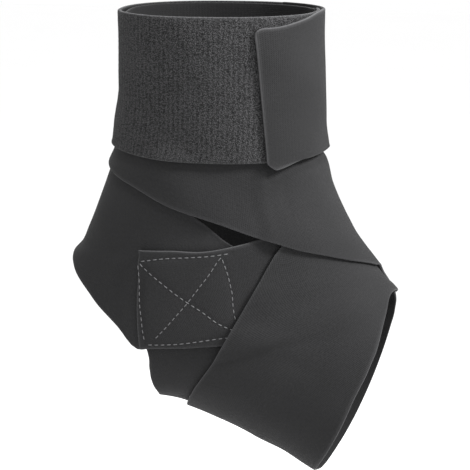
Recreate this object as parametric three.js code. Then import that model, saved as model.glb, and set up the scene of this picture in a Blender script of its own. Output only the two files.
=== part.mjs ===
// An ankle brace in its worn shape: wide elastic straps wound round a leg and foot.
// Millimetres. +X points to the toes, +Y to the inner side of the ankle, +Z up the leg.
// The origin is the middle of the ankle.
//
// Every strap lies on one form, the shape of the leg and foot inside the brace.
// A place on the form is a turn and a share. The turn is in degrees round the form:
// 0 is the front, 90 the outer side, 180 the back and the sole, 270 the inner side.
// It goes on past 360 as a strap winds on. The share runs from 0 at the top rim,
// down the leg and out along the foot, to 1 just past the foot opening.

import * as THREE from 'three';

// The leg and foot inside the brace
const LEG_RISE = 110;
const SOLE_DROP = 114;
const HEEL_REACH = 73;
const FOOT_REACH = 82;
const HALF_BREADTH = 36;
const SECTION_POWER = 2.25;

// The straps
const STRAP_WIDTH = 66;
const LOOP_WIDTH = 48;
const TAB_WIDTH = 70;
const STRAP_THICKNESS = 1.6;
const CUFF_THICKNESS = 1.8;
const TAB_THICKNESS = 1.7;
const LAYER_GAP = 0.45;
const BUTT_GAP = 0.5;
const TAB_TOP_CORNER = 3;
const TAB_LOW_CORNER = 5.5;

// The mesh: its steps once round the form and down its whole length
const STEPS_IN_LAP = 40;
const STEPS_DOWN = 34;
const TURN_STEP = 360 / STEPS_IN_LAP;
const SHARE_STEP = 1 / STEPS_DOWN;

// In mesh steps: how far a strap stays lifted past a lower strap's edge, how long it takes to come down,
// how near the mesh's crossings come to a strap's edge, how near its cross lines come to each other,
// and how far back from a cut end its lean starts
const LIFT_HOLD = 1.2;
const LIFT_RAMP = 2.2;
const EDGE_CLEAR = 0.3;
const LINE_CLEAR = 0.05;
const LEAN_START = 1.2;

// Cross lines round a rounded corner, as parts of its radius from the end
const CORNER_LINES = [1, 0.55, 0.2];

// Sections of the form at chosen shares. back and front are how far out the section's two ends lie,
// as shares of HEEL_REACH backwards and FOOT_REACH forwards. The heights are shares of LEG_RISE up
// and SOLE_DROP down, and breadth is a share of HALF_BREADTH.
const FORM = [
  { share: 0, back: -0.589, backHeight: 1.0, front: 0.51, frontHeight: 1.0, breadth: 1.0 },
  { share: 0.08, back: -0.589, backHeight: 0.795, front: 0.51, frontHeight: 0.795, breadth: 0.986 },
  { share: 0.155, back: -0.592, backHeight: 0.616, front: 0.506, frontHeight: 0.616, breadth: 0.965 },
  { share: 0.215, back: -0.592, backHeight: 0.47, front: 0.498, frontHeight: 0.475, breadth: 0.95 },
  { share: 0.26, back: -0.643, backHeight: 0.368, front: 0.54, frontHeight: 0.38, breadth: 0.95 },
  { share: 0.31, back: -0.7, backHeight: 0.26, front: 0.566, frontHeight: 0.279, breadth: 0.95 },
  { share: 0.385, back: -0.812, backHeight: 0.091, front: 0.64, frontHeight: 0.155, breadth: 0.958 },
  { share: 0.46, back: -0.934, backHeight: -0.042, front: 0.7, frontHeight: 0.075, breadth: 0.958 },
  { share: 0.54, back: -1.0, backHeight: -0.24, front: 0.748, frontHeight: 0.017, breadth: 0.944 },
  { share: 0.615, back: -0.89, backHeight: -0.456, front: 0.797, frontHeight: -0.026, breadth: 0.917 },
  { share: 0.69, back: -0.58, backHeight: -0.575, front: 0.845, frontHeight: -0.069, breadth: 0.903 },
  { share: 0.77, back: -0.205, backHeight: -0.614, front: 0.885, frontHeight: -0.105, breadth: 0.903 },
  { share: 0.845, back: 0.187, backHeight: -0.719, front: 0.926, frontHeight: -0.132, breadth: 0.917 },
  { share: 0.925, back: 0.56, backHeight: -0.862, front: 0.969, frontHeight: -0.158, breadth: 0.931 },
  { share: 1, back: 0.902, backHeight: -1.0, front: 1.01, frontHeight: -0.184, breadth: 0.944 },
];

// The straps' courses, a row for each chosen turn. middle is the share of the strap's middle line,
// and reach is how much of the form it spans there, in strap widths laid down the form.
const ARCH_COURSE = [
  { turn: 86, middle: 0.601, reach: 1.51 },
  { turn: 96, middle: 0.631, reach: 1.57 },
  { turn: 104, middle: 0.657, reach: 1.5 },
  { turn: 111, middle: 0.689, reach: 1.26 },
  { turn: 117, middle: 0.7226, reach: 0.974 },
  { turn: 124, middle: 0.7421, reach: 0.871 },
  { turn: 130, middle: 0.7551, reach: 0.806 },
  { turn: 135, middle: 0.7653, reach: 0.75 },
  { turn: 142, middle: 0.7777, reach: 0.683 },
  { turn: 150, middle: 0.7865, reach: 0.646 },
  { turn: 180, middle: 0.798, reach: 0.62 },
  { turn: 210, middle: 0.789, reach: 0.7 },
  { turn: 240, middle: 0.762, reach: 0.96 },
  { turn: 270, middle: 0.712, reach: 1.41 },
  { turn: 300, middle: 0.662, reach: 1.79 },
  { turn: 330, middle: 0.605, reach: 2.26 },
  { turn: 345, middle: 0.578, reach: 2.45 },
];
const ANCHOR_COURSE = [
  { turn: 345, middle: 0.578, reach: 2.45 },
  { turn: 360, middle: 0.552, reach: 2.56 },
  { turn: 380, middle: 0.547, reach: 2.37 },
  { turn: 400, middle: 0.553, reach: 2.02 },
  { turn: 420, middle: 0.552, reach: 1.75 },
  { turn: 435, middle: 0.554, reach: 1.57 },
  { turn: 448, middle: 0.549, reach: 1.41 },
  { turn: 460, middle: 0.5316, reach: 1.264 },
  { turn: 468, middle: 0.5213, reach: 1.151 },
  { turn: 476, middle: 0.5155, reach: 1.082 },
];
const HEEL_COURSE = [
  { turn: 72, middle: 0.488, reach: 0.5 },
  { turn: 84, middle: 0.474, reach: 0.85 },
  { turn: 96, middle: 0.468, reach: 1.1 },
  { turn: 108, middle: 0.455, reach: 1.28 },
  { turn: 118, middle: 0.442, reach: 1.39 },
  { turn: 122, middle: 0.418, reach: 1.28 },
  { turn: 128, middle: 0.393, reach: 1.2 },
  { turn: 136, middle: 0.369, reach: 1.12 },
  { turn: 148, middle: 0.346, reach: 1.07 },
  { turn: 164, middle: 0.325, reach: 1.02 },
  { turn: 180, middle: 0.32, reach: 1.04 },
  { turn: 205, middle: 0.325, reach: 1.16 },
];
const ANKLE_COURSE = [
  { turn: 205, middle: 0.325, reach: 1.16 },
  { turn: 225, middle: 0.341, reach: 1.23 },
  { turn: 250, middle: 0.366, reach: 1.32 },
  { turn: 270, middle: 0.39, reach: 1.4 },
  { turn: 285, middle: 0.412, reach: 1.51 },
  { turn: 300, middle: 0.444, reach: 1.7 },
  { turn: 314, middle: 0.495, reach: 2.06 },
  { turn: 324, middle: 0.547, reach: 2.44 },
  { turn: 334, middle: 0.589, reach: 2.73 },
  { turn: 342, middle: 0.601, reach: 2.78 },
  { turn: 350, middle: 0.598, reach: 2.7 },
];
const FOOT_COURSE = [
  { turn: 350, middle: 0.598, reach: 2.7 },
  { turn: 362, middle: 0.593, reach: 2.58 },
  { turn: 376, middle: 0.596, reach: 2.46 },
  { turn: 390, middle: 0.63, reach: 2.41 },
  { turn: 404, middle: 0.6625, reach: 2.267 },
  { turn: 410, middle: 0.6755, reach: 2.196 },
  { turn: 416, middle: 0.6955, reach: 2.049 },
  { turn: 420, middle: 0.7159, reach: 1.872 },
  { turn: 424, middle: 0.7375, reach: 1.686 },
  { turn: 428, middle: 0.7532, reach: 1.55 },
  { turn: 431, middle: 0.7628, reach: 1.464 },
  { turn: 436, middle: 0.7756, reach: 1.339 },
  { turn: 440, middle: 0.7842, reach: 1.256 },
  { turn: 446, middle: 0.7942, reach: 1.157 },
  { turn: 452, middle: 0.8032, reach: 1.078 },
  { turn: 464, middle: 0.8187, reach: 0.939 },
  { turn: 480, middle: 0.8318, reach: 0.805 },
  { turn: 500, middle: 0.843, reach: 0.683 },
  { turn: 520, middle: 0.8495, reach: 0.624 },
  { turn: 540, middle: 0.8569, reach: 0.619 },
];
const INSTEP_COURSE = [
  { turn: 540, middle: 0.8569, reach: 0.619 },
  { turn: 570, middle: 0.8543, reach: 0.716 },
  { turn: 600, middle: 0.8391, reach: 0.917 },
  { turn: 630, middle: 0.8108, reach: 1.204 },
  { turn: 660, middle: 0.7482, reach: 1.751 },
  { turn: 674, middle: 0.7011, reach: 2.119 },
  { turn: 684, middle: 0.646, reach: 2.24 },
  { turn: 693, middle: 0.577, reach: 2.15 },
  { turn: 702, middle: 0.504, reach: 2.0 },
  { turn: 712, middle: 0.455, reach: 1.97 },
  { turn: 723, middle: 0.421, reach: 2.01 },
  { turn: 738, middle: 0.368, reach: 1.86 },
  { turn: 752, middle: 0.314, reach: 1.58 },
  { turn: 766, middle: 0.275, reach: 1.42 },
  { turn: 782, middle: 0.237, reach: 1.27 },
  { turn: 800, middle: 0.208, reach: 1.19 },
  { turn: 824, middle: 0.181, reach: 1.14 },
  { turn: 850, middle: 0.154, reach: 1.06 },
  { turn: 900, middle: 0.136, reach: 0.97 },
  { turn: 960, middle: 0.124, reach: 0.89 },
  { turn: 1060, middle: 0.117, reach: 0.84 },
];
const CUFF_COURSE = [
  { turn: 1060, middle: 0.119, reach: 0.95 },
  { turn: 1140, middle: 0.119, reach: 0.95 },
  { turn: 1186, middle: 0.118, reach: 0.94 },
  { turn: 1226, middle: 0.115, reach: 0.92 },
  { turn: 1260, middle: 0.115, reach: 0.92 },
  { turn: 1320, middle: 0.117, reach: 0.94 },
  { turn: 1380, middle: 0.118, reach: 0.95 },
];
const TAB_COURSE = [
  { turn: 1380, middle: 0.118, reach: 0.9 },
  { turn: 1420, middle: 0.118, reach: 0.9 },
  { turn: 1455, middle: 0.118, reach: 0.9 },
  { turn: 1470, middle: 0.124, reach: 0.89 },
  { turn: 1488, middle: 0.134, reach: 0.9 },
  { turn: 1499, middle: 0.136, reach: 0.9 },
];

// How far a cut end leans or bows round the form across its width, in degrees
const TAB_END_LEAN = -8;
const ANCHOR_END_BOW = -5.5;

// The finishes
const strapFinish = new THREE.MeshStandardMaterial({ color: 0x38383a, roughness: 0.85, metalness: 0 });
const cuffFinish = new THREE.MeshStandardMaterial({ color: 0x303032, roughness: 0.95, metalness: 0 });

// One strap width laid straight down the form, as a share of the form
function shareOfWidth(width) {
  return width / (LEG_RISE + HEEL_REACH + FOOT_REACH);
}

// A table's value at a place along its first column: smooth between the rows, and straight on past the ends
function tableValue(table, along, name, place) {
  const last = table.length - 1;
  let row = 0;
  while (row < last - 1 && place > table[row + 1][along]) row += 1;
  const slope = (index) => {
    const low = table[Math.max(index - 1, 0)];
    const high = table[Math.min(index + 1, last)];
    return (high[name] - low[name]) / (high[along] - low[along]);
  };
  const from = table[row];
  const to = table[row + 1];
  const span = to[along] - from[along];
  const part = (place - from[along]) / span;
  if (part < 0) return from[name] + part * span * slope(row);
  if (part > 1) return to[name] + (part - 1) * span * slope(row + 1);
  const ease = part * part * (3 - 2 * part);
  const rise = span * part * (1 - part);
  return from[name] + ease * (to[name] - from[name])
    + rise * ((1 - part) * slope(row) - part * slope(row + 1));
}

function formValue(name, share) {
  return tableValue(FORM, 'share', name, share);
}

function height(share) {
  return share > 0 ? share * LEG_RISE : share * SOLE_DROP;
}

function depth(share) {
  return share > 0 ? share * FOOT_REACH : share * HEEL_REACH;
}

// The form's point at a turn and a share: each section is an oval, a little squarer than an ellipse
function formPoint(turn, share) {
  const angle = THREE.MathUtils.degToRad(turn);
  const forward = Math.cos(angle);
  const aside = Math.sin(angle);
  const squareness = Math.abs(forward) ** SECTION_POWER + Math.abs(aside) ** SECTION_POWER;
  const out = squareness ** (-1 / SECTION_POWER);
  const frontX = depth(formValue('front', share));
  const frontZ = height(formValue('frontHeight', share));
  const backX = depth(formValue('back', share));
  const backZ = height(formValue('backHeight', share));
  const towardsFront = (1 + forward * out) / 2;
  return new THREE.Vector3(
    THREE.MathUtils.lerp(backX, frontX, towardsFront),
    -formValue('breadth', share) * HALF_BREADTH * aside * out,
    THREE.MathUtils.lerp(backZ, frontZ, towardsFront),
  );
}

// The directions down and round the form at a place, in millimetres for a whole share and for a degree
function formDirections(turn, share) {
  const shareNudge = 0.001;
  const turnNudge = 0.2;
  const down = formPoint(turn, share + shareNudge).sub(formPoint(turn, share - shareNudge));
  const round = formPoint(turn + turnNudge, share).sub(formPoint(turn - turnNudge, share));
  return { down: down.divideScalar(2 * shareNudge), round: round.divideScalar(2 * turnNudge) };
}

// The point that stands off the form by a distance
function standOff(turn, share, distance) {
  const { down, round } = formDirections(turn, share);
  const outward = round.cross(down).normalize();
  return formPoint(turn, share).addScaledVector(outward, distance);
}

function courseValue(course, name, turn) {
  return tableValue(course, 'turn', name, turn);
}

// A strap's two edges at a turn, as shares of the form
function strapEdges(strap, turn) {
  const middle = courseValue(strap.course, 'middle', turn);
  const half = courseValue(strap.course, 'reach', turn) * shareOfWidth(strap.width) / 2;
  return { top: middle - half, low: middle + half };
}

// How far a place lies outside a strap, in steps of the mesh, measured square to the strap's edge
function stepsOutside(strap, turn, share) {
  const within = THREE.MathUtils.clamp(turn, strap.start, strap.end);
  const edges = strapEdges(strap, within);
  const further = strapEdges(strap, within + 1);
  const topSlope = (further.top - edges.top) * TURN_STEP / SHARE_STEP;
  const lowSlope = (further.low - edges.low) * TURN_STEP / SHARE_STEP;
  const above = (edges.top - share) / SHARE_STEP / Math.hypot(1, topSlope);
  const below = (share - edges.low) / SHARE_STEP / Math.hypot(1, lowSlope);
  return Math.hypot(Math.max(above, below, 0), (turn - within) / TURN_STEP);
}

// How far a strap's inner face stands off the form where two steps of the mesh cross: it lies on every strap
// laid before it, stays lifted a little past a lower strap's edge and then comes down
function crossingSeat(strap, turnSteps, shareSteps) {
  const key = `${turnSteps} ${shareSteps}`;
  if (strap.seats.has(key)) return strap.seats.get(key);
  let seat = 0;
  for (const lower of strap.laidBefore) {
    const firstLap = lower === strap.continues ? 1 : 0;
    for (let lap = firstLap; turnSteps > lap * STEPS_IN_LAP; lap += 1) {
      const lowerSteps = turnSteps - lap * STEPS_IN_LAP;
      const outside = stepsOutside(lower, lowerSteps * TURN_STEP, shareSteps * SHARE_STEP);
      const lift = 1 - THREE.MathUtils.smoothstep(outside, LIFT_HOLD, LIFT_HOLD + LIFT_RAMP);
      if (lift > 0) {
        const top = crossingSeat(lower, lowerSteps, shareSteps) + lower.thickness + LAYER_GAP;
        seat = Math.max(seat, lift * top);
      }
    }
  }
  strap.seats.set(key, seat);
  return seat;
}

// The same height at any place, evenly shared out between the four crossings round it
function seatHeight(strap, turn, share) {
  const turnSteps = Math.floor(turn / TURN_STEP);
  const shareSteps = Math.floor(share / SHARE_STEP);
  const turnPart = turn / TURN_STEP - turnSteps;
  const sharePart = share / SHARE_STEP - shareSteps;
  const alongShare = (steps) => THREE.MathUtils.lerp(
    crossingSeat(strap, steps, shareSteps),
    crossingSeat(strap, steps, shareSteps + 1),
    sharePart,
  );
  return THREE.MathUtils.lerp(alongShare(turnSteps), alongShare(turnSteps + 1), turnPart);
}

// How far a rounded corner draws an edge in, at a distance from the strap's end
function cornerInset(distance, radius) {
  if (distance >= radius) return 0;
  return radius - Math.sqrt(radius ** 2 - (radius - distance) ** 2);
}

// The turns of a strap's cross lines: its two ends, the steps between, and a few more round a corner
function crossTurns(strap) {
  const { round } = formDirections(strap.end, courseValue(strap.course, 'middle', strap.end));
  const corner = Math.max(strap.topCorner, strap.lowCorner) / round.length();
  const turns = [strap.start, strap.end];
  for (const part of CORNER_LINES) turns.push(strap.end - part * corner);
  const firstStep = Math.floor(strap.start / TURN_STEP) + 1;
  for (let step = firstStep; step * TURN_STEP < strap.end; step += 1) turns.push(step * TURN_STEP);
  turns.sort((a, b) => a - b);
  return turns.filter((turn, index) => index === 0 || turn - turns[index - 1] > LINE_CLEAR * TURN_STEP);
}

// One line of places across a strap, from its top edge to its low edge
function crossLine(strap, turn) {
  const { down, round } = formDirections(turn, courseValue(strap.course, 'middle', turn));
  const fromEnd = (strap.end - turn) * round.length();
  const edges = strapEdges(strap, turn);
  const top = edges.top + cornerInset(fromEnd, strap.topCorner) / down.length();
  const low = edges.low - cornerInset(fromEnd, strap.lowCorner) / down.length();
  const shares = [top];
  const clear = EDGE_CLEAR * SHARE_STEP;
  for (let step = Math.ceil((top + clear) / SHARE_STEP); step * SHARE_STEP < low - clear; step += 1) {
    shares.push(step * SHARE_STEP);
  }
  shares.push(low);
  const leanPart = THREE.MathUtils.smoothstep(turn, strap.end - LEAN_START * TURN_STEP, strap.end);
  return shares.map((share) => {
    const across = (share - top) / (low - top) - 0.5;
    const shift = strap.endLean * across + strap.endBow * (1 - 4 * across ** 2);
    return { turn: turn + shift * leanPart, share };
  });
}

// A closed strap: an outer and an inner skin over the same cross lines, joined all round the edge
function strapGeometry(strap) {
  const lines = crossTurns(strap).map((turn) => crossLine(strap, turn));
  const positions = [];
  const triangles = [];
  const addPoint = (place, distance) => {
    const point = standOff(place.turn, place.share, distance);
    positions.push(point.x, point.y, point.z);
    return positions.length / 3 - 1;
  };
  for (const line of lines) {
    for (const place of line) {
      const seat = seatHeight(strap, place.turn, place.share);
      place.inner = addPoint(place, seat);
      place.outer = addPoint(place, seat + strap.thickness);
    }
  }
  const addPatch = (a, b, c) => {
    triangles.push(a.outer, c.outer, b.outer);
    triangles.push(a.inner, b.inner, c.inner);
  };
  const addWall = (a, b) => {
    triangles.push(a.outer, a.inner, b.inner);
    triangles.push(a.outer, b.inner, b.outer);
  };
  for (let index = 0; index < lines.length - 1; index += 1) {
    const here = lines[index];
    const next = lines[index + 1];
    let i = 0;
    let j = 0;
    while (i + j < here.length + next.length - 2) {
      const nextDone = j === next.length - 1;
      const hereDone = i === here.length - 1;
      if (nextDone || (!hereDone && here[i + 1].share <= next[j + 1].share)) {
        addPatch(here[i], here[i + 1], next[j]);
        i += 1;
      } else {
        addPatch(here[i], next[j + 1], next[j]);
        j += 1;
      }
    }
    addWall(here[0], next[0]);
    addWall(next[next.length - 1], here[here.length - 1]);
  }
  const first = lines[0];
  const final = lines[lines.length - 1];
  for (let i = 0; i < first.length - 1; i += 1) addWall(first[i + 1], first[i]);
  for (let i = 0; i < final.length - 1; i += 1) addWall(final[i], final[i + 1]);
  const geometry = new THREE.BufferGeometry();
  geometry.setAttribute('position', new THREE.Float32BufferAttribute(positions, 3));
  geometry.setIndex(triangles);
  geometry.computeVertexNormals();
  return geometry;
}

// A strap ready to lay: its ends come from its course, and a strap that continues another
// starts a small gap after it
const laid = [];
function layStrap(name, course, details) {
  const strap = {
    name,
    course,
    width: STRAP_WIDTH,
    thickness: STRAP_THICKNESS,
    finish: strapFinish,
    continues: null,
    endLean: 0,
    endBow: 0,
    topCorner: 0,
    lowCorner: 0,
    laidBefore: [...laid],
    seats: new Map(),
    start: course[0].turn,
    end: course[course.length - 1].turn,
    ...details,
  };
  if (strap.continues) {
    const { round } = formDirections(strap.start, course[0].middle);
    strap.start += BUTT_GAP / round.length();
  }
  laid.push(strap);
  return strap;
}

function strapMesh(strap) {
  const mesh = new THREE.Mesh(strapGeometry(strap), strap.finish);
  mesh.name = strap.name;
  return mesh;
}

// The foot loop and the long wrap strap, in the order that they are laid
const archStrap = layStrap('arch_strap', ARCH_COURSE, { width: LOOP_WIDTH });
const heelStrap = layStrap('heel_strap', HEEL_COURSE, {});
layStrap('anchor_strap', ANCHOR_COURSE, { width: LOOP_WIDTH, continues: archStrap, endBow: ANCHOR_END_BOW });
const ankleStrap = layStrap('ankle_strap', ANKLE_COURSE, { continues: heelStrap });
const footStrap = layStrap('foot_strap', FOOT_COURSE, { continues: ankleStrap });
const instepStrap = layStrap('instep_strap', INSTEP_COURSE, { continues: footStrap });

// The cuff and its tab
const cuffBand = layStrap('cuff_band', CUFF_COURSE, {
  continues: instepStrap,
  thickness: CUFF_THICKNESS,
  finish: cuffFinish,
});
layStrap('closure_tab', TAB_COURSE, {
  continues: cuffBand,
  width: TAB_WIDTH,
  thickness: TAB_THICKNESS,
  endLean: TAB_END_LEAN,
  topCorner: TAB_TOP_CORNER,
  lowCorner: TAB_LOW_CORNER,
});

const brace = new THREE.Group();
brace.name = 'ankle_brace';
for (const strap of laid) brace.add(strapMesh(strap));

export default brace;
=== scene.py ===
# %% [markdown]
# # A wrap-round ankle brace
#
# The brace is two long straps of stretchy foam faced with knit. A narrow loop goes under the
# foot, and a wide strap winds from the ankle round the foot and up to a cuff of loop pile.
# The brace stands open in the shape of the leg that wore it, with nobody in it.
# We lay both straps on one form in code, as the wearer does. A sculpted mesh would also give
# the folds, but laid straps keep their true width and lie over each other in the right order.

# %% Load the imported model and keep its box
import math

import bpy
import numpy as np
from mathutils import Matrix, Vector


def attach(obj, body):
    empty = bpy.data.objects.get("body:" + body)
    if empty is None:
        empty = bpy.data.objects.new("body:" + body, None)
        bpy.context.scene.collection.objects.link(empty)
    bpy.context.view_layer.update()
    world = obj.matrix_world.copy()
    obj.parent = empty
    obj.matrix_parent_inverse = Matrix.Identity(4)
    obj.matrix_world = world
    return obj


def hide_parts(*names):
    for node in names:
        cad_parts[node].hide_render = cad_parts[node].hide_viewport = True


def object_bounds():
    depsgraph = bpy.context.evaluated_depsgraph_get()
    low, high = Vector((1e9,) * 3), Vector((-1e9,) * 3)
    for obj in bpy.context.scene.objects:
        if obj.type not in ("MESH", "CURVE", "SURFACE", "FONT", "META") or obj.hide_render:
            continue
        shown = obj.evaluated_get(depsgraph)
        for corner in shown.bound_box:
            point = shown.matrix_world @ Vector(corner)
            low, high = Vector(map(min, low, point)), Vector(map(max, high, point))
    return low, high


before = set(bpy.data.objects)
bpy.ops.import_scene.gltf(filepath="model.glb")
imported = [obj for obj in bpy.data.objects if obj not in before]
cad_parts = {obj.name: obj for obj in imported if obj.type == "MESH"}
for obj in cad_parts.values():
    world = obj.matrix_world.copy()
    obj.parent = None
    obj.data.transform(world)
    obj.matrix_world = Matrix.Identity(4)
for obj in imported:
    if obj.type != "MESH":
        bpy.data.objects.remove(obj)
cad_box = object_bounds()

print("nodes:", sorted(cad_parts))

# %% [markdown]
# ## The camera
#
# A long lens from a little above, turned ten degrees from square on. A long lens keeps the
# cuff's round rim from looking wider than it is, as in product pictures.

# %% Set the camera
MM = 0.001
VIEW_TARGET = Vector((7, 0, 7)) * MM
VIEW_TURN = math.radians(10)
VIEW_RISE = math.radians(13)
VIEW_DISTANCE = 0.771
SENSOR = 36
LENS = 128.4

away = Vector((
    math.sin(VIEW_TURN) * math.cos(VIEW_RISE),
    -math.cos(VIEW_TURN) * math.cos(VIEW_RISE),
    math.sin(VIEW_RISE),
))
camera_data = bpy.data.cameras.new("camera")
camera_data.lens = LENS
camera_data.sensor_width = SENSOR
camera = bpy.data.objects.new("camera", camera_data)
camera.location = VIEW_TARGET + away * VIEW_DISTANCE
camera.rotation_euler = away.to_track_quat("Z", "Y").to_euler()
bpy.context.scene.collection.objects.link(camera)
bpy.context.scene.camera = camera
print("camera at", tuple(round(c, 3) for c in camera.location))

# %% [markdown]
# ## The form inside the brace
#
# Every strap lies on one form, the leg and foot that it held. A place on it is a turn and a
# share: the turn goes round, with 0 at the front and 90 on the near side, and the share runs
# from the top rim down the leg and out along the foot. A row gives one section's back end and
# front end, as shares of how far the heel and the foot reach out, with heights as shares of
# the rise up and the drop down. Rows are few, so they can be read and changed by hand.

# %% The form's sections
LEG_RISE = 110
SOLE_DROP = 114
HEEL_REACH = 73
FOOT_REACH = 82
HALF_BREADTH = 36
SECTION_POWER = 2.25
FORM_COLUMNS = ("share", "back", "back_height", "front", "front_height", "breadth")
FORM = (
    (0, -0.568, 1.006, 0.526, 1.006, 1.0),
    (0.08, -0.568, 0.797, 0.524, 0.797, 0.986),
    (0.155, -0.572, 0.616, 0.516, 0.616, 0.965),
    (0.215, -0.59, 0.47, 0.514, 0.475, 0.95),
    (0.24, -0.618, 0.415, 0.518, 0.423, 0.95),
    (0.26, -0.65, 0.368, 0.548, 0.38, 0.95),
    (0.31, -0.708, 0.26, 0.568, 0.279, 0.95),
    (0.385, -0.812, 0.091, 0.64, 0.155, 0.958),
    (0.425, -0.857, 0.021, 0.674, 0.108, 0.958),
    (0.46, -0.934, -0.042, 0.7, 0.075, 0.958),
    (0.54, -1.0, -0.24, 0.748, 0.017, 0.944),
    (0.615, -0.89, -0.456, 0.797, -0.026, 0.917),
    (0.69, -0.58, -0.575, 0.845, -0.069, 0.903),
    (0.77, -0.205, -0.614, 0.885, -0.105, 0.903),
    (0.845, 0.187, -0.716, 0.926, -0.132, 0.917),
    (0.925, 0.56, -0.882, 0.969, -0.158, 0.931),
    (1, 0.902, -1.018, 1.01, -0.184, 0.944),
)


def table_value(rows, column, places):
    """A table's value at places along its first column: smooth between rows, straight past the ends."""
    along = np.array([row[0] for row in rows], float)
    value = np.array([row[column] for row in rows], float)
    slope = np.empty_like(value)
    slope[1:-1] = (value[2:] - value[:-2]) / (along[2:] - along[:-2])
    slope[0] = (value[1] - value[0]) / (along[1] - along[0])
    slope[-1] = (value[-1] - value[-2]) / (along[-1] - along[-2])
    inside = np.clip(places, along[0], along[-1])
    row = np.clip(np.searchsorted(along, inside, side="left") - 1, 0, len(along) - 2)
    span = along[row + 1] - along[row]
    part = (inside - along[row]) / span
    ease = part * part * (3 - 2 * part)
    bend = span * part * (1 - part)
    smooth = value[row] + ease * (value[row + 1] - value[row])
    smooth = smooth + bend * ((1 - part) * slope[row] - part * slope[row + 1])
    beyond = places - inside
    return smooth + beyond * np.where(beyond < 0, slope[0], slope[-1])


def signed_reach(share, forwards, backwards):
    return np.where(share > 0, share * forwards, share * backwards)


def form_point(turn, share):
    """Points on the form, in millimetres. Each section is an oval, a little squarer than an ellipse."""
    back, back_height, front, front_height, breadth = (
        table_value(FORM, FORM_COLUMNS.index(name), share) for name in FORM_COLUMNS[1:]
    )
    forward = np.cos(np.radians(turn))
    aside = np.sin(np.radians(turn))
    squareness = np.abs(forward) ** SECTION_POWER + np.abs(aside) ** SECTION_POWER
    out = squareness ** (-1 / SECTION_POWER)
    to_front = (1 + forward * out) / 2
    back_x = signed_reach(back, FOOT_REACH, HEEL_REACH)
    front_x = signed_reach(front, FOOT_REACH, HEEL_REACH)
    back_z = signed_reach(back_height, LEG_RISE, SOLE_DROP)
    front_z = signed_reach(front_height, LEG_RISE, SOLE_DROP)
    x = back_x + (front_x - back_x) * to_front
    y = -breadth * HALF_BREADTH * aside * out
    z = back_z + (front_z - back_z) * to_front
    return np.stack(np.broadcast_arrays(x, y, z), -1)


def form_directions(turn, share):
    """The way down the form for a whole share, and round it for a degree, in millimetres."""
    share_nudge = 0.001
    turn_nudge = 0.2
    down = form_point(turn, share + share_nudge) - form_point(turn, share - share_nudge)
    round_way = form_point(turn + turn_nudge, share) - form_point(turn - turn_nudge, share)
    return down / (2 * share_nudge), round_way / (2 * turn_nudge)


def length_of(vectors):
    return np.linalg.norm(vectors, axis=-1)


rim = form_point(np.arange(0, 360, 2.0), 0)
print("cuff round the inside, mm:", round(float(length_of(np.roll(rim, 1, 0) - rim).sum())))

# %% [markdown]
# ## The straps' courses
#
# A strap's course says where its middle line runs and how much of the form it spans at chosen
# turns. The reach is counted in strap widths laid straight down the form, so a strap that
# crosses the instep at a slant has a reach of two or more, though its own width stays the same.
# The turn goes on past 360 as a strap winds on round the leg.

# %% Sizes of the straps
STRAP_WIDTH = 66
LOOP_WIDTH = 48
TAB_WIDTH = 70
STRAP_THICKNESS = 1.6
CUFF_THICKNESS = 1.8
TAB_THICKNESS = 1.7
LAYER_GAP = 0.4
TAB_TOP_CORNER = 3
TAB_LOW_CORNER = 5.5
TAB_END_LEAN = -8
ANCHOR_END_BOW = -5.5
MIDDLE = 1
REACH = 2
print("strap, foot loop and tab are", STRAP_WIDTH, LOOP_WIDTH, TAB_WIDTH, "mm wide")

# %% The foot loop's course, from under the patch, round the sole and back over the instep
ARCH_COURSE = (
    (86, 0.601, 1.51), (96, 0.631, 1.57), (104, 0.657, 1.5), (111, 0.689, 1.26),
    (117, 0.7206, 0.996), (124, 0.7401, 0.893), (130, 0.7531, 0.828), (135, 0.7633, 0.772),
    (142, 0.7757, 0.705), (150, 0.7845, 0.668), (180, 0.798, 0.62), (210, 0.789, 0.7),
    (240, 0.762, 0.96), (270, 0.712, 1.41), (300, 0.662, 1.79), (330, 0.605, 2.26),
    (345, 0.578, 2.45),
)
ANCHOR_COURSE = (
    (345, 0.578, 2.45), (360, 0.552, 2.56), (380, 0.547, 2.37), (400, 0.553, 2.02),
    (420, 0.552, 1.75), (435, 0.554, 1.57), (448, 0.549, 1.41), (460, 0.5316, 1.264),
    (468, 0.5213, 1.151), (476, 0.5155, 1.082),
)
print("the foot loop goes round for", ANCHOR_COURSE[-1][0] - ARCH_COURSE[0][0], "degrees")

# %% The wrap strap's course, round the ankle, under the foot, and up round the leg
HEEL_COURSE = (
    (72, 0.488, 0.5), (84, 0.474, 0.85), (96, 0.468, 1.1), (108, 0.455, 1.28),
    (118, 0.442, 1.39), (122, 0.418, 1.28), (128, 0.3942, 1.21), (136, 0.3702, 1.13),
    (148, 0.3472, 1.08), (164, 0.3262, 1.03), (180, 0.321, 1.05), (205, 0.325, 1.16),
)
ANKLE_COURSE = (
    (205, 0.325, 1.16), (225, 0.341, 1.23), (250, 0.366, 1.32), (270, 0.39, 1.4),
    (285, 0.412, 1.51), (300, 0.444, 1.7), (314, 0.495, 2.06), (324, 0.547, 2.44),
    (334, 0.5905, 2.742), (342, 0.6025, 2.792), (350, 0.5995, 2.712),
)
FOOT_COURSE = (
    (350, 0.5995, 2.712), (362, 0.594, 2.588), (376, 0.596, 2.46), (390, 0.63, 2.41),
    (404, 0.6625, 2.267), (410, 0.6755, 2.196), (416, 0.6955, 2.049), (420, 0.7159, 1.872),
    (424, 0.7375, 1.686), (428, 0.7532, 1.55), (431, 0.7628, 1.464), (436, 0.7756, 1.339),
    (440, 0.7842, 1.256), (446, 0.7942, 1.157), (452, 0.8032, 1.078), (464, 0.8187, 0.939),
    (480, 0.8318, 0.805), (500, 0.843, 0.683), (520, 0.8497, 0.625), (540, 0.8567, 0.617),
)
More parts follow.
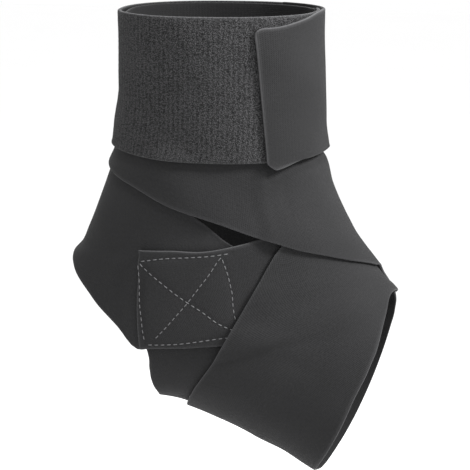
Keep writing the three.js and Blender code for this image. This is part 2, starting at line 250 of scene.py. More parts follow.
INSTEP_COURSE = (
    (540, 0.8567, 0.617), (570, 0.8532, 0.706), (600, 0.8382, 0.909), (630, 0.8112, 1.207),
    (660, 0.7499, 1.765), (674, 0.7034, 2.138), (684, 0.655, 2.312), (693, 0.577, 2.15),
    (702, 0.504, 2.0), (712, 0.455, 1.97), (723, 0.421, 2.01), (738, 0.368, 1.86),
    (752, 0.314, 1.58), (766, 0.275, 1.42), (782, 0.237, 1.27), (800, 0.208, 1.19),
    (824, 0.181, 1.14), (850, 0.154, 1.06), (900, 0.13, 1.0), (960, 0.117, 0.92),
    (1060, 0.113, 0.88),
)
print("the wrap strap goes round for", INSTEP_COURSE[-1][0] - HEEL_COURSE[0][0], "degrees")

# %% The cuff's course and the tab's
CUFF_COURSE = (
    (1060, 0.119, 0.95), (1140, 0.119, 0.95), (1186, 0.118, 0.94), (1226, 0.115, 0.92),
    (1260, 0.115, 0.92), (1320, 0.117, 0.94), (1380, 0.118, 0.95),
)
TAB_COURSE = (
    (1380, 0.118, 0.9), (1420, 0.118, 0.9), (1455, 0.118, 0.9), (1470, 0.124, 0.89),
    (1488, 0.134, 0.9), (1499, 0.136, 0.9),
)
print("the cuff and the tab go round for", TAB_COURSE[-1][0] - CUFF_COURSE[0][0], "degrees")

# %% The lengths, in the order they are laid
# How many millimetres a strap stays lifted past a lower edge, and takes to come down
STRAP_RAMP = (2, 18)
CUFF_RAMP = (3, 22)


def strap_length(
    name, course, width=STRAP_WIDTH, thickness=STRAP_THICKNESS, continues=None, ramp=STRAP_RAMP,
):
    """One length of strap, ready to lay."""
    return {
        "name": name, "course": course, "width": width, "thickness": thickness, "ramp": ramp,
        "continues": continues, "start": course[0][0], "end": course[-1][0],
    }


LAID = (
    strap_length("arch", ARCH_COURSE, width=LOOP_WIDTH),
    strap_length("heel", HEEL_COURSE),
    strap_length("anchor", ANCHOR_COURSE, width=LOOP_WIDTH, continues="arch"),
    strap_length("ankle", ANKLE_COURSE, continues="heel"),
    strap_length("foot", FOOT_COURSE, continues="ankle"),
    strap_length("instep", INSTEP_COURSE, continues="foot"),
    strap_length(
        "cuff", CUFF_COURSE, thickness=CUFF_THICKNESS, continues="instep", ramp=CUFF_RAMP,
    ),
    strap_length(
        "tab", TAB_COURSE, width=TAB_WIDTH, thickness=TAB_THICKNESS, continues="cuff", ramp=CUFF_RAMP,
    ),
)
BY_NAME = {length["name"]: length for length in LAID}


def edges_of(length, turns):
    """A length's top and low edge at some turns, as shares of the form."""
    middle = table_value(length["course"], MIDDLE, turns)
    reach = table_value(length["course"], REACH, turns)
    half = reach * length["width"] / (LEG_RISE + HEEL_REACH + FOOT_REACH) / 2
    return middle - half, middle + half


print("lengths in the order they are laid:", [length["name"] for length in LAID])

# %% [markdown]
# ## How each strap lies on the ones below
#
# A strap laid over another's edge stays lifted a little past it and then comes down to the
# form over about two centimetres. A cloth simulation could find this, but it also stretches
# and shifts the straps. So we work it out on a fine lattice: over each lower strap the seat is
# that strap's own seat plus its thickness, it eases off past the edge, and the highest wins.

# %% Work out each length's seat, in laying order
LAP = 360
MOST_LAPS = 4
SHARE_CELL = 1 / 400
LATTICE_MARGIN = 60
# Cells from a little above the rim to a little past the foot
FIRST_CELL = -14
LAST_CELL = 423
LATTICE_SHARES = np.arange(FIRST_CELL, LAST_CELL + 1) * SHARE_CELL
A_HAIR = 0.001


def ease_between(values, low, high):
    part = np.clip((values - low) / (high - low), 0, 1)
    return part * part * (3 - 2 * part)


def distance_outside(length, turns, shares):
    """How far places lie outside a strap, in millimetres, square to its edges. Inside is 0."""
    within = np.clip(turns, length["start"], length["end"])
    top, low = edges_of(length, within)
    next_top, next_low = edges_of(length, within + 1)
    down, round_way = form_directions(turns, shares)
    down_mm = length_of(down)
    round_mm = length_of(round_way)
    above = (top - shares) * down_mm / np.hypot(1, (next_top - top) * down_mm / round_mm)
    below = (shares - low) * down_mm / np.hypot(1, (next_low - low) * down_mm / round_mm)
    beside = np.maximum(np.maximum(above, below), 0)
    return np.hypot(beside, (turns - within) * round_mm)


def softened(field):
    """Each value averaged with its neighbours, so that a lift has no crease."""
    padded = np.pad(field, 1, mode="edge")
    across = (padded[:, :-2] + 2 * padded[:, 1:-1] + padded[:, 2:]) / 4
    return (across[:-2] + 2 * across[1:-1] + across[2:]) / 4


def lay(length, laid_before):
    """Adds the lattices of this length's seat, of its roof and of how far outside it places lie."""
    hold, ramp = length["ramp"]
    first = length["start"] - LATTICE_MARGIN
    turns = np.arange(first, length["end"] + LATTICE_MARGIN + 1)
    grid_turns = turns[:, None].astype(float)
    grid_shares = LATTICE_SHARES[None, :]
    seat = np.zeros((len(turns), len(LATTICE_SHARES)))
    for lower in laid_before:
        for lap in range(1 if lower["name"] == length["continues"] else 0, MOST_LAPS):
            low_turn = max(first - lap * LAP, lower["first"])
            high_turn = min(turns[-1] - lap * LAP, lower["last"])
            if high_turn <= low_turn or high_turn <= 0:
                continue
            here = slice(low_turn + lap * LAP - first, high_turn + lap * LAP - first + 1)
            there = slice(low_turn - lower["first"], high_turn - lower["first"] + 1)
            lift = 1 - ease_between(lower["outside"][there], hold, hold + ramp)
            seat[here] = np.maximum(seat[here], lift * lower["roof"][there])
    length["seat"] = softened(softened(seat))
    length["roof"] = length["seat"] + length["thickness"] + LAYER_GAP
    length["outside"] = distance_outside(length, grid_turns, grid_shares)
    length["first"] = int(first)
    length["last"] = int(turns[-1])


for order, length in enumerate(LAID):
    lay(length, LAID[:order])
    print(length["name"], "highest seat, mm:", round(float(length["seat"].max()), 1))


def seat_at(length, turn, share):
    """The seat anywhere, shared out between the four lattice points round it."""
    last_cell = len(LATTICE_SHARES) - 1 - A_HAIR
    last_turn = length["last"] - length["first"] - A_HAIR
    across = np.clip((share - LATTICE_SHARES[0]) / SHARE_CELL, 0, last_cell)
    along = np.clip(turn - length["first"], 0, last_turn)
    i = np.floor(along).astype(int)
    j = np.floor(across).astype(int)
    u = along - i
    v = across - j
    seat = length["seat"]
    near = seat[i, j] * (1 - v) + seat[i, j + 1] * v
    far = seat[i + 1, j] * (1 - v) + seat[i + 1, j + 1] * v
    return near * (1 - u) + far * u


# %% [markdown]
# ## The cloth's own softness
#
# Worn foam is never as even as a drawing. Slow swells of up to a third of a millimetre break
# up the light on the broad faces. They belong to the form, so every layer follows them
# together and none cuts through another.

# %% Stand a point off the form
SWELLS = (
    # turns round the form, waves down it, start, height in millimetres
    (3, 2.0, 0.4, 0.16),
    (5, 5.5, 2.1, 0.11),
    (8, 9.0, 4.4, 0.06),
)


def stand_off(turn, share, distance):
    """Points that stand off the form by a distance, in millimetres."""
    down, round_way = form_directions(turn, share)
    outward = np.cross(round_way, down)
    outward = outward / length_of(outward)[..., None]
    swell = sum(
        height * np.sin(rounds * np.radians(turn) + 2 * math.pi * waves * share + start)
        for rounds, waves, start, height in SWELLS
    )
    return form_point(turn, share) + outward * (distance + swell)[..., None]


print("all swells together, mm:", round(sum(swell[-1] for swell in SWELLS), 2))

# %% [markdown]
# ## A strap's mesh
#
# The strap is a closed band: an outer face, an inner face and rounded edges. Each cross line
# is one ring of points, and rings follow each other every millimetre or so, closer together
# at the two ends, where the end is rounded as the edges are. Lengths that continue each other
# share one mesh, so the real strap's unbroken run shows no joint.

# %% Rings of points along a strap
EDGE_ROUND = 0.5
ROUND_ANGLES = np.radians((0, 22, 45, 67, 90))
TURN_STEP = 0.25


def height_lost(distance, radius):
    """How much lower a rounded edge is, at a distance in from it."""
    inside = np.clip(1 - distance / radius, 0, 1)
    return radius * (1 - np.sqrt(1 - inside ** 2))


def stations_of(lengths, spacing):
    """Which length and turn each ring belongs to, and how far along the whole strap it is."""
    turns = []
    owners = []
    for owner, length in enumerate(lengths):
        part = np.arange(length["start"], length["end"] + TURN_STEP / 2, TURN_STEP)
        turns.append(part)
        owners.append(np.full(len(part), owner))
    turns = np.concatenate(turns)
    owners = np.concatenate(owners)
    middles = np.concatenate([
        table_value(length["course"], MIDDLE, turns[owners == owner])
        for owner, length in enumerate(lengths)
    ])
    line = form_point(turns, middles)
    run = np.concatenate(([0], np.cumsum(length_of(line[1:] - line[:-1]))))
    ends = EDGE_ROUND * (1 - np.cos(ROUND_ANGLES[:-1]))
    inner = np.arange(EDGE_ROUND, run[-1] - EDGE_ROUND, spacing)
    places = np.concatenate((ends, inner, run[-1] - ends[::-1]))
    station_turns = np.interp(places, run, turns)
    station_owners = np.searchsorted([length["end"] for length in lengths[:-1]], station_turns)
    return station_turns, station_owners, places, run[-1]


# %% [markdown]
# A ring is one face's line of points from the top edge to the low edge, and then the other
# face's line back up. Both corners are rounded by half a millimetre, as on foam that is cut
# with a press knife. The insets are square to the edge, which a slanting strap needs.

# %% Points of one ring
def face_profile(across_count):
    """Parts across, insets and heights lost on a face, from the top edge to the low edge."""
    inset = EDGE_ROUND * (1 - np.cos(ROUND_ANGLES))
    drop = EDGE_ROUND * (1 - np.sin(ROUND_ANGLES))
    middle = np.linspace(0, 1, across_count)[1:-1]
    part = np.concatenate((np.zeros(len(inset)), middle, np.ones(len(inset))))
    sideways = np.concatenate((inset, EDGE_ROUND * (1 - 2 * middle), -inset[::-1]))
    lost = np.concatenate((drop, np.zeros(len(middle)), drop[::-1]))
    return part, sideways, lost


def strap_edges(lengths, turns, owners):
    """The top and low edge at each ring, as shares of the form."""
    top = np.empty(len(turns))
    low = np.empty(len(turns))
    for owner, length in enumerate(lengths):
        mine = owners == owner
        top[mine], low[mine] = edges_of(length, turns[mine])
    return top, low


def edge_scale(edge, turns, round_mm):
    """A whole share in millimetres at an edge, and the share of a millimetre square to it."""
    share_mm = length_of(form_directions(turns, edge)[0])
    slant = np.hypot(1, np.gradient(edge, turns) * share_mm / round_mm)
    return share_mm, slant / share_mm


def corner_inset(distance, radius):
    """How far a rounded corner draws the edge in, at a distance from the strap's end."""
    return height_lost(distance, radius) if radius else np.zeros_like(distance)


# %% The last end's outline, and all of a strap's rings
LEAN_START = 10.8


def end_shift(turns, across, end, shape):
    """How many degrees the last end's leaning or bowed outline moves each point."""
    lean = ease_between(turns, end - LEAN_START, end)[:, None]
    return lean * (shape["lean"] * across + shape["bow"] * (1 - 4 * across ** 2))


def strap_arrays(lengths, spacing, across_count, shape):
    """Every ring's turns, shares, heights and marks, as arrays of ring by point."""
    turns, owners, places, total = stations_of(lengths, spacing)
    top, low = strap_edges(lengths, turns, owners)
    round_mm = length_of(form_directions(turns, (top + low) / 2)[1])
    top_mm, top_scale = edge_scale(top, turns, round_mm)
    low_mm, low_scale = edge_scale(low, turns, round_mm)
    tail = total - places
    top = top + corner_inset(tail, shape["top_corner"]) / top_mm
    low = low - corner_inset(tail, shape["low_corner"]) / low_mm
    part, sideways, lost = face_profile(across_count)
    face = top[:, None] + (low - top)[:, None] * part
    face = face + sideways * np.where(part < 0.5, top_scale[:, None], low_scale[:, None])
    from_end = np.minimum(places, tail)
    lost = np.minimum(lost + height_lost(from_end, EDGE_ROUND)[:, None], EDGE_ROUND)
    shares = np.concatenate((face, face[:, ::-1]), axis=1)
    heights = np.concatenate((lengths[0]["thickness"] - lost, lost[:, ::-1]), axis=1)
    across = (shares - top[:, None]) / (low - top)[:, None] - 0.5
    ring_turns = turns[:, None] + end_shift(turns, across, lengths[-1]["end"], shape)
    return ring_turns, shares, heights, owners, places, across, from_end


# %% [markdown]
# Each point keeps three marks for the finishes: where it lies on the strap in metres, how near
# the cut edge it is, and whether it is on the inner face. Marks stay true however the strap
# bends, which flat picture coordinates would not.

# %% Build a strap as one closed mesh
PLAIN_SHAPE = {"top_corner": 0, "low_corner": 0, "lean": 0, "bow": 0}
EDGE_FADE = 0.35


def mesh_from(name, points, faces, marks):
    mesh = bpy.data.meshes.new(name)
    mesh.from_pydata((points * MM).tolist(), [], faces)
    for mark, values in marks.items():
        kind = "FLOAT_VECTOR" if values.ndim == 2 else "FLOAT"
        attribute = mesh.attributes.new(mark, kind, "POINT")
        attribute.data.foreach_set("vector" if values.ndim == 2 else "value", values.ravel())
    mesh.shade_smooth()
    mesh.update()
    piece = bpy.data.objects.new(name, mesh)
    bpy.context.scene.collection.objects.link(piece)
    return piece


def ring_faces(rings, ring):
    """Quads between the rings, and a row of quads that closes each end."""
    index = np.arange(rings * ring).reshape(rings, ring)
    here = index[:-1]
    ahead = index[1:]
    band = np.stack((here, np.roll(here, -1, 1), np.roll(ahead, -1, 1), ahead), -1)
    outer = np.arange(ring // 2 - 1)
    inner = ring - 1 - outer
    first = index[0]
    last = index[-1]
    start_cap = np.stack((first[inner], first[inner - 1], first[outer + 1], first[outer]), -1)
    end_cap = np.stack((last[outer], last[outer + 1], last[inner - 1], last[inner]), -1)
    return np.concatenate((band.reshape(-1, 4), start_cap, end_cap)).tolist()


def strap_marks(places, across, width, nearest, outer):
    """The marks for the finishes, one value or vector for each point."""
    along = np.broadcast_to(places[:, None], across.shape)
    lay_mark = np.stack((along, across * width, np.zeros_like(along)), -1)
    return {
        "lay": lay_mark.reshape(-1, 3) * MM,
        "edge": np.exp(-np.clip(nearest, 0, None) / EDGE_FADE).ravel(),
        "inner": np.broadcast_to(1.0 - outer, across.shape).ravel().copy(),
    }


def strap_piece(name, lengths, spacing, across_count, shape=PLAIN_SHAPE, relief=None):
    """A strap's mesh object, and its length in millimetres along the middle line."""
    turns, shares, heights, owners, places, across, from_end = strap_arrays(
        lengths, spacing, across_count, shape
    )
    rings, ring = turns.shape
    seats = np.empty_like(turns)
    for owner, length in enumerate(lengths):
        mine = owners == owner
        seats[mine] = seat_at(length, turns[mine], shares[mine])
    outer = np.arange(ring) < ring // 2
    width = lengths[0]["width"]
    nearest = np.minimum((0.5 - np.abs(across)) * width, from_end[:, None])
    if relief is not None:
        heights = heights + relief(turns, shares, nearest, places) * outer
    points = stand_off(turns, shares, seats + heights).reshape(-1, 3)
    faces = ring_faces(rings, ring)
    piece = mesh_from(name, points, faces, strap_marks(places, across, width, nearest, outer))
    length_mm = float(places[-1])
    print(name, "length mm:", round(length_mm), "faces:", len(faces))
    return piece, length_mm


# %% [markdown]
# ## The stitched box and cross
#
# The foot loop ends in a patch sewn flat over the start of the wrap strap, with thread in a
# box and a cross. Each stitch is a real bead of thread that dips into the cloth at its ends,
# and the thread's pull leaves a shallow channel, so the stitches sit in the strap and not on
# it. A bump picture of stitches would look flat from the side.

# %% Where the stitches run
STITCH_LENGTH = 1.9
STITCH_PITCH = 2.95
STITCH_WIDTH = 0.52
STITCH_HEIGHT = 0.36
BOX_LINES = (
    # turns and shares on the form, along each line of thread
    ((472.0, 0.449), (461.7, 0.440), (451.4, 0.4373), (444.3, 0.4356), (435.5, 0.4305)),
    ((472.3, 0.4555), (469.7, 0.505), (470.0, 0.56), (472.6, 0.6075)),
    ((472.2, 0.6093), (461.8, 0.6269), (452.3, 0.6432), (441.2, 0.667)),
    (
        (438.3, 0.4453), (436.2, 0.4878), (435.3, 0.5237),
        (435.6, 0.5577), (438.6, 0.6165), (441.5, 0.665),
    ),
    ((472.0, 0.452), (460.8, 0.4997), (451.9, 0.55), (446.4, 0.5889), (441.3, 0.665)),
    ((438.8, 0.440), (444.0, 0.4984), (451.0, 0.5464), (460.2, 0.5814), (469.9, 0.6075)),
)
LINE_POINTS = 160


def line_places(knots):
    """Turns and shares along a smooth line through its knots."""
    rows = [(index, turn, share) for index, (turn, share) in enumerate(knots)]
    steps = np.linspace(0, len(knots) - 1, LINE_POINTS)
    return table_value(rows, 1, steps), table_value(rows, 2, steps)


box_places = [line_places(knots) for knots in BOX_LINES]
print("lines of thread in the box and cross:", len(box_places))

# %% The channel that the thread pulls into the patch
CHANNEL_DEPTH = 0.28
CHANNEL_WIDTH = 1.1
CHANNEL_POINT_STEP = 3
PATCH_START = 425
FAR_OFF = 1000.0
channel_line = np.concatenate([form_point(turn, share) for turn, share in box_places])


def stitch_channels(turns, shares, nearest, places):
    """A shallow channel along each line of thread."""
    relief = np.zeros_like(turns)
    close = turns > PATCH_START
    spots = form_point(turns[close], shares[close])
    gap = np.full(len(spots), FAR_OFF)
    for point in channel_line[::CHANNEL_POINT_STEP]:
        gap = np.minimum(gap, length_of(spots - point))
    relief[close] = -CHANNEL_DEPTH * np.exp(-(gap / CHANNEL_WIDTH) ** 2)
    return relief


# %% Beads of thread along lines on a strap
BEAD_SIDES = 8
BEAD_RINGS = np.radians(np.linspace(-90, 90, 9))
BEAD_POINT = 0.05
BEAD_FULLNESS = 0.6
FIRST_STITCH = 0.4


def add_bead(points, faces, tail, head, middle, normal):
    """Adds one stitch: an oval tube from tail to head that dips into the cloth at both ends."""
    forward = head - tail
    half = length_of(forward) / 2
    forward = forward / length_of(forward)
    aside = np.cross(normal, forward)
    first = len(points)
    for ring in BEAD_RINGS:
        reach = math.sin(ring) * half
        girth = max(math.cos(ring), BEAD_POINT) ** BEAD_FULLNESS
        dip = (1 - girth) * STITCH_HEIGHT / 2
        for side in range(BEAD_SIDES):
            angle = 2 * math.pi * side / BEAD_SIDES
            out = aside * math.cos(angle) * girth * STITCH_WIDTH / 2
            up = normal * (math.sin(angle) * girth * STITCH_HEIGHT / 2 - dip)
            points.append(middle + forward * reach + out + up)
    for ring in range(len(BEAD_RINGS) - 1):
        for side in range(BEAD_SIDES):
            a = first + ring * BEAD_SIDES + side
            b = first + ring * BEAD_SIDES + (side + 1) % BEAD_SIDES
            faces.append((a, b, b + BEAD_SIDES, a + BEAD_SIDES))
    last = first + (len(BEAD_RINGS) - 1) * BEAD_SIDES
    faces.append(tuple(first + side for side in reversed(range(BEAD_SIDES))))
    faces.append(tuple(last + side for side in range(BEAD_SIDES)))


def between(place, run, rows):
    """A row of x, y and z at a place along a line of rows."""
    return np.array([np.interp(place, run, rows[:, axis]) for axis in range(3)])


def thread_beads(name, length, lines, sunk=0.0):
    """One mesh of all the stitches on a length's outer face."""
    points = []
    faces = []
    for turns, shares in lines:
        surface = stand_off(turns, shares, seat_at(length, turns, shares) + length["thickness"])
        run = np.concatenate(([0], np.cumsum(length_of(surface[1:] - surface[:-1]))))
        down, round_way = form_directions(turns, shares)
        normals = np.cross(round_way, down)
        normals = normals / length_of(normals)[:, None]
        start = FIRST_STITCH
        while start + STITCH_LENGTH < run[-1]:
            tail = between(start, run, surface)
            middle = between(start + STITCH_LENGTH / 2, run, surface)
            head = between(start + STITCH_LENGTH, run, surface)
            normal = between(start + STITCH_LENGTH / 2, run, normals)
            add_bead(points, faces, tail, head, middle - normal * sunk, normal)
            start += STITCH_PITCH
    piece = mesh_from(name, np.array(points), faces, {})
    print(name, "stitches:", len(points) // (BEAD_SIDES * len(BEAD_RINGS)))
    return piece


# %% [markdown]
# ## Loop pile on the cuff
#
# The cuff's outer face is knitted loops that the tab's hooks grip. They stand in fine upright
# ribs and no two are the same height. Hair would be truer up close, but it makes hundreds of
# thousands of strands, so each point of a fine mesh is lifted by its rib and a seeded chance.

# %% The pile's heights
PILE_SEED = 11
RIB_PITCH = 2.1
RIB_HEIGHT = 0.08
LOOP_HEIGHT = 0.1
PILE_START = 0.2
PILE_FULL = 1.4
chance = np.random.default_rng(PILE_SEED)


def loop_pile(turns, shares, nearest, places):
    """Height of the loops, which starts a little in from the edges."""
    ribs = 0.5 + 0.5 * np.sin(2 * math.pi * places / RIB_PITCH)
    loops = chance.random(turns.shape)
    loops = (np.roll(loops, 1, 1) + loops) / 2
    inside = ease_between(nearest, PILE_START, PILE_FULL)
    return inside * (RIB_HEIGHT * ribs[:, None] + LOOP_HEIGHT * loops)


print("the pile stands up to, mm:", round(RIB_HEIGHT + LOOP_HEIGHT, 2))


# %% [markdown]
# ## Make the pieces
#
# Four pieces of cloth and two runs of thread. The foot loop stands for two lengths of the CAD
# model and the wrap strap for four, because each real strap is one unbroken band.

# %% The foot loop and the wrap strap
# Millimetres between rings, and points across a face
LOOP_MESH = (0.9, 46)
WRAP_MESH = (1.15, 48)
CUFF_MESH = (0.6, 92)
TAB_MESH = (0.9, 60)
ANCHOR_SHAPE = dict(PLAIN_SHAPE, bow=ANCHOR_END_BOW)
TAB_SHAPE = {
    "top_corner": TAB_TOP_CORNER, "low_corner": TAB_LOW_CORNER, "lean": TAB_END_LEAN, "bow": 0,
}
loop_parts = [BY_NAME[name] for name in ("arch", "anchor")]
wrap_parts = [BY_NAME[name] for name in ("heel", "ankle", "foot", "instep")]
foot_loop, loop_length = strap_piece(
    "foot_loop", loop_parts, *LOOP_MESH, shape=ANCHOR_SHAPE, relief=stitch_channels,
)
wrap_strap, wrap_length = strap_piece("wrap_strap", wrap_parts, *WRAP_MESH)

# %% The cuff and the tab
pile_cuff, cuff_length = strap_piece("pile_cuff", [BY_NAME["cuff"]], *CUFF_MESH, relief=loop_pile)
press_tab, tab_length = strap_piece("press_tab", [BY_NAME["tab"]], *TAB_MESH, shape=TAB_SHAPE)

# %% The thread
PATCH_THREAD_SUNK = 0.16
patch_stitching = thread_beads(
    "patch_stitching", BY_NAME["anchor"], box_places, sunk=PATCH_THREAD_SUNK,
)
TAB_SEAM_TURNS = (1384.5, 1389.5)
TAB_SEAM_SHARES = (0.018, 0.218)
seam_places = [line_places([(turn, share) for share in TAB_SEAM_SHARES]) for turn in TAB_SEAM_TURNS]
tab_stitching = thread_beads("tab_stitching", BY_NAME["tab"], seam_places)

# %% [markdown]
# ## Writing a finish
#
# A finish is a node material. Sums on shader values read best as plain sums, so a small class
# wraps a socket and adds a Math node for each operator. Every other node comes from one
# method that takes its type, its settings and what its sockets are given.

# %% Shader values and finishes
class Value:
    """A number that changes over the surface."""

    def __init__(self, finish, socket):
        self.finish = finish
        self.socket = socket

    def math(self, operation, first, second=None):
        sockets = {0: first} if second is None else {0: first, 1: second}
        return self.finish.node("ShaderNodeMath", {"operation": operation}, sockets)

    def __add__(self, other):
        return self.math("ADD", self, other)

    def __mul__(self, other):
        return self.math("MULTIPLY", self, other)

    def __sub__(self, other):
        return self.math("SUBTRACT", self, other)

    def __rsub__(self, other):
        return self.math("SUBTRACT", other, self)

    __radd__ = __add__
    __rmul__ = __mul__

    def sine(self):
        return self.math("SINE", self)

    def size(self):
        return self.math("ABSOLUTE", self)


class Finish:
    """A node material with one method for any node."""

    def __init__(self, name):
        self.material = bpy.data.materials.new(name)
        self.material.use_nodes = True
        self.nodes = self.material.node_tree.nodes
        self.links = self.material.node_tree.links
        self.shader = self.nodes["Principled BSDF"]

    def node(self, kind, settings, sockets, output=0):
        node = self.nodes.new(kind)
        for setting, value in settings.items():
            setattr(node, setting, value)
        for socket, value in sockets.items():
            self.give(node.inputs[socket], value)
        return Value(self, node.outputs[output])

    def give(self, socket, value):
        if isinstance(value, Value):
            self.links.new(value.socket, socket)
        else:
            socket.default_value = value

    def mark(self, name, output="Fac"):
        return self.node("ShaderNodeAttribute", {"attribute_name": name}, {}, output)

    def mixed(self, factor, first, second):
        settings = {"data_type": "RGBA"}
        return self.node("ShaderNodeMix", settings, {0: factor, 6: first, 7: second}, 2)

    def noise(self, where, scale, detail=2.0):
        sockets = {"Vector": where, "Scale": scale, "Detail": detail}
        return self.node("ShaderNodeTexNoise", {}, sockets)

    def bump(self, height, distance, strength):
        sockets = {"Height": height, "Distance": distance, "Strength": strength}
        self.set("Normal", self.node("ShaderNodeBump", {}, sockets))

    def set(self, socket, value):
        self.give(self.shader.inputs[socket], value)


COOL_TINT = 1.03


def grey(level):
    """A grey with a trace of blue, as black dye on nylon has."""
    return (level, level, level * COOL_TINT, 1.0)


# %% [markdown]
# ## Smooth knit over foam
#
# The straps are faced with a fine jersey: columns of little v-shaped loops under a millimetre
# wide. From a metre away they blur into a matt face with a soft sheen at grazing angles, so
# the loops are a very low bump and the sheen is the shader's own. A thin painted highlight
# lightens the cloth along the cut edges, and the inner face is darkened with painted shade.

# %% The strap finish
KNIT_COLUMN = 0.0009
KNIT_ROW = 0.0007
KNIT_BUMP = 0.00018
# Noise sizes, in turns of the noise for a metre
BLOTCHES = 45
FIBRES = 900
# Painted shade on the inner face: how much of it shows, and how dark it is beside the outer face
INNER_SHADE = 0.35
INNER_LEVEL = 0.4


def strap_finish(name, dark, light, edge_level):
    finish = Finish(name)
    lay_mark = finish.mark("lay", "Vector")
    along = finish.node("ShaderNodeSeparateXYZ", {}, {0: lay_mark}, "X")
    across = finish.node("ShaderNodeSeparateXYZ", {}, {0: lay_mark}, "Y")
    column = (across * (math.pi / KNIT_COLUMN)).sine().size()
    loops = ((along * (1 / KNIT_ROW) + column * 0.5) * (2 * math.pi)).sine()
    broad = finish.noise(lay_mark, BLOTCHES)
    fine = finish.noise(lay_mark, FIBRES, 3)
    # Painted highlight: the outer face is lightened towards a paler grey along the cut edges
    edge_highlight = finish.mark("edge") * (0.75 + fine * 0.5) * (1 - finish.mark("inner"))
    # The two noises and what is taken off keep the middle of the mix at a half
    face = finish.mixed(broad * 0.4 + fine * 1.2 - 0.3, grey(dark), grey(light))
    colour = finish.mixed(edge_highlight, face, grey(edge_level))
    # Painted shade: the inner face is mixed towards a darker grey
    inner = finish.mark("inner") * INNER_SHADE
    finish.set("Base Color", finish.mixed(inner, colour, grey(dark * INNER_LEVEL)))
    finish.set("Roughness", 0.7 + fine * 0.2)
    finish.set("Sheen Weight", 0.015)
    finish.set("Sheen Roughness", 0.55)
    finish.set("Specular IOR Level", 0.06)
    finish.bump(loops * 0.35 + column * 0.25 + fine * 1.2, KNIT_BUMP, 0.7)
    print(name, "nodes:", len(finish.nodes))
    return finish.material


# %% [markdown]
# ## Loop pile
#
# Light gets lost between the loops, so the pile is darker in its gaps and lighter at its tips.
# Small cells the size of a loop and a fine noise give the speckle, and a sine gives the upright
# ribs that the mesh also has.

# %% The cuff finish
LOOP_SIZE = 0.0009
PILE_BUMP = 0.0006
# Noise sizes, in turns of the noise for a metre
SPECKLE = 2700
PILE_BLOTCHES = 60
# How much is taken off the sum of the patterns: more leaves more of the pile in its gaps
GAP_DEPTH = 1.53
PILE_EDGE_SHARE = 0.7


def pile_finish(name, dark, light, edge_level):
    finish = Finish(name)
    lay_mark = finish.mark("lay", "Vector")
    along = finish.node("ShaderNodeSeparateXYZ", {}, {0: lay_mark}, "X")
    loop_cells = finish.node(
        "ShaderNodeTexVoronoi", {}, {"Vector": lay_mark, "Scale": 1 / LOOP_SIZE}, "Distance"
    )
    tips = 1 - loop_cells
    ribs = (along * (2 * math.pi / (RIB_PITCH * MM))).sine() * 0.5 + 0.5
    speckle = finish.noise(lay_mark, SPECKLE, 1)
    broad = finish.noise(lay_mark, PILE_BLOTCHES)
    level = tips * 0.5 + ribs * 0.12 + speckle * 2.8 - GAP_DEPTH + broad * 0.15
    face = finish.mixed(level, grey(dark), grey(light))
    # Painted shade: the cuff's inner face is a darker grey than the pile
    outer_face = (1 - finish.mark("inner")) * 0.9
    colour = finish.mixed(outer_face, grey(dark * 0.6), face)
    # Painted highlight: the cloth is lightened along the cut edges
    pile_edge_highlight = finish.mark("edge") * PILE_EDGE_SHARE
    finish.set("Base Color", finish.mixed(pile_edge_highlight, colour, grey(edge_level)))
    finish.set("Roughness", 0.86 + speckle * 0.1)
    finish.set("Sheen Weight", 0.02)
    finish.set("Sheen Roughness", 0.7)
    finish.set("Specular IOR Level", 0.05)
    finish.bump(tips * 0.6 + ribs * 0.3 + speckle * 0.9, PILE_BUMP, 1.0)
    print(name, "nodes:", len(finish.nodes))
    return finish.material


# %% [markdown]
# ## Thread
#
# Polyester thread is twisted from two plies, so fine slanting bands run round each stitch. It
# is paler than the cloth, which is what makes the box and cross show.

# %% The thread finish
THREAD_BUMP = 0.00005
TWIST = 900.0
FLUFF = 2600


def thread_finish(name, dark, light):
    finish = Finish(name)
    where = finish.node("ShaderNodeTexCoord", {}, {}, "Object")
    sockets = {"Vector": where, "Scale": TWIST}
    twist = finish.node("ShaderNodeTexWave", {"bands_direction": "DIAGONAL"}, sockets, "Fac")
    fluff = finish.noise(where, FLUFF)
    finish.set("Base Color", finish.mixed(twist * 0.6 + fluff * 0.4, grey(dark), grey(light)))
    finish.set("Roughness", 0.5 + fluff * 0.2)
    finish.bump(twist, THREAD_BUMP, 0.5)
    print(name, "nodes:", len(finish.nodes))
    return finish.material


# %% Make the finishes
# edge_level is the grey of the painted highlight along the cut edges
strap_cloth = strap_finish("strap_cloth", dark=0.0139, light=0.0239, edge_level=0.064)
tab_cloth = strap_finish("tab_cloth", dark=0.0139, light=0.0223, edge_level=0.086)
pile_cloth = pile_finish("pile_cloth", dark=0.0056, light=0.096, edge_level=0.078)
thread = thread_finish("thread", dark=0.054, light=0.096)

# %% [markdown]
# ## Say what each piece is
#
# Each piece rides on the one body and takes its finish. Each cloth piece stands for its CAD
# nodes, which are hidden.

wrap_nodes = ("heel_strap", "ankle_strap", "foot_strap", "instep_strap")
CLOTHS = (
    (foot_loop, ("arch_strap", "anchor_strap"), "strap_fabric", strap_cloth),
    (wrap_strap, wrap_nodes, "strap_fabric", strap_cloth),
    (pile_cuff, ("cuff_band",), "loop_fabric", pile_cloth),
    (press_tab, ("closure_tab",), "strap_fabric", tab_cloth),
)
for piece, nodes, slot, finish in CLOTHS:
    piece.data.materials.append(finish)
    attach(piece, "root")
    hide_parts(*nodes)

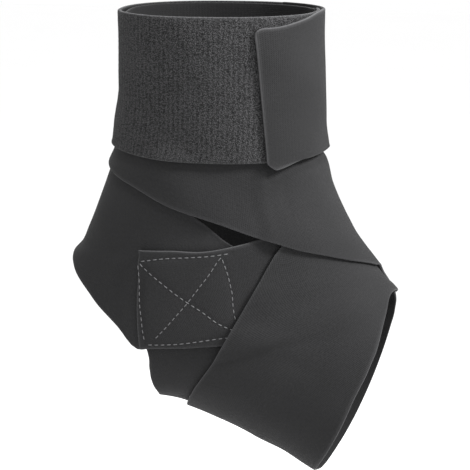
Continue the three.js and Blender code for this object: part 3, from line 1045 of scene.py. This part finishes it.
for piece in (patch_stitching, tab_stitching):
    piece.data.materials.append(thread)
    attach(piece, "root")


# %% [markdown]
# ## Floor and light
#
# A white sweep and white surroundings, as for a catalogue picture. The brace hangs as if it
# were worn, so the sweep lies well below it and shows no shadow. The surroundings give most of
# the light. A small strong light from the right makes the slopes towards the toes brighter, a
# weaker one above draws thin shadows under the straps' edges, and a soft one lights the back.

# %% The floor
FLOOR_SIZE = 6.0
FLOOR_DROP = 0.35
floor_height = min(cad_box[0][2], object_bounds()[0][2]) - FLOOR_DROP
corners = np.array([(-1, -1), (1, -1), (1, 1), (-1, 1)]) * FLOOR_SIZE
floor_points = np.column_stack((corners, np.full(4, floor_height))) / MM
floor = mesh_from("floor", floor_points, [(0, 1, 2, 3)], {})
floor_finish = Finish("floor_paint")
floor_where = floor_finish.node("ShaderNodeTexCoord", {}, {}, "Object")
floor_grain = floor_finish.noise(floor_where, 3.0)
floor_colours = ((0.985, 0.985, 0.985, 1), (1, 1, 1, 1))
floor_finish.set("Base Color", floor_finish.mixed(floor_grain, *floor_colours))
floor_finish.set("Roughness", 0.9)
floor.data.materials.append(floor_finish.material)
print("floor at, mm:", round(floor_height / MM))

# %% The lights
LIGHTS = (
    # name, place, size, strength in watts
    ("front_right", (0.64, -0.17, 0.56), 0.2, 15.0),
    ("above", (0.12, -0.4, 0.95), 0.15, 5.0),
    ("behind", (-0.35, 0.95, 0.45), 0.7, 7.0),
)
for name, place, size, strength in LIGHTS:
    light_data = bpy.data.lights.new(name, "AREA")
    light_data.size = size
    light_data.energy = strength
    light = bpy.data.objects.new(name, light_data)
    light.location = place
    light.rotation_euler = Vector(place).to_track_quat("Z", "Y").to_euler()
    bpy.context.scene.collection.objects.link(light)

world = bpy.data.worlds.new("surroundings")
world.use_nodes = True
world.node_tree.nodes["Background"].inputs["Color"].default_value = (1, 1, 1, 1)
world.node_tree.nodes["Background"].inputs["Strength"].default_value = 1.0
bpy.context.scene.world = world
bpy.context.scene.view_settings.view_transform = "Standard"
print("lights:", [name for name, place, size, strength in LIGHTS])
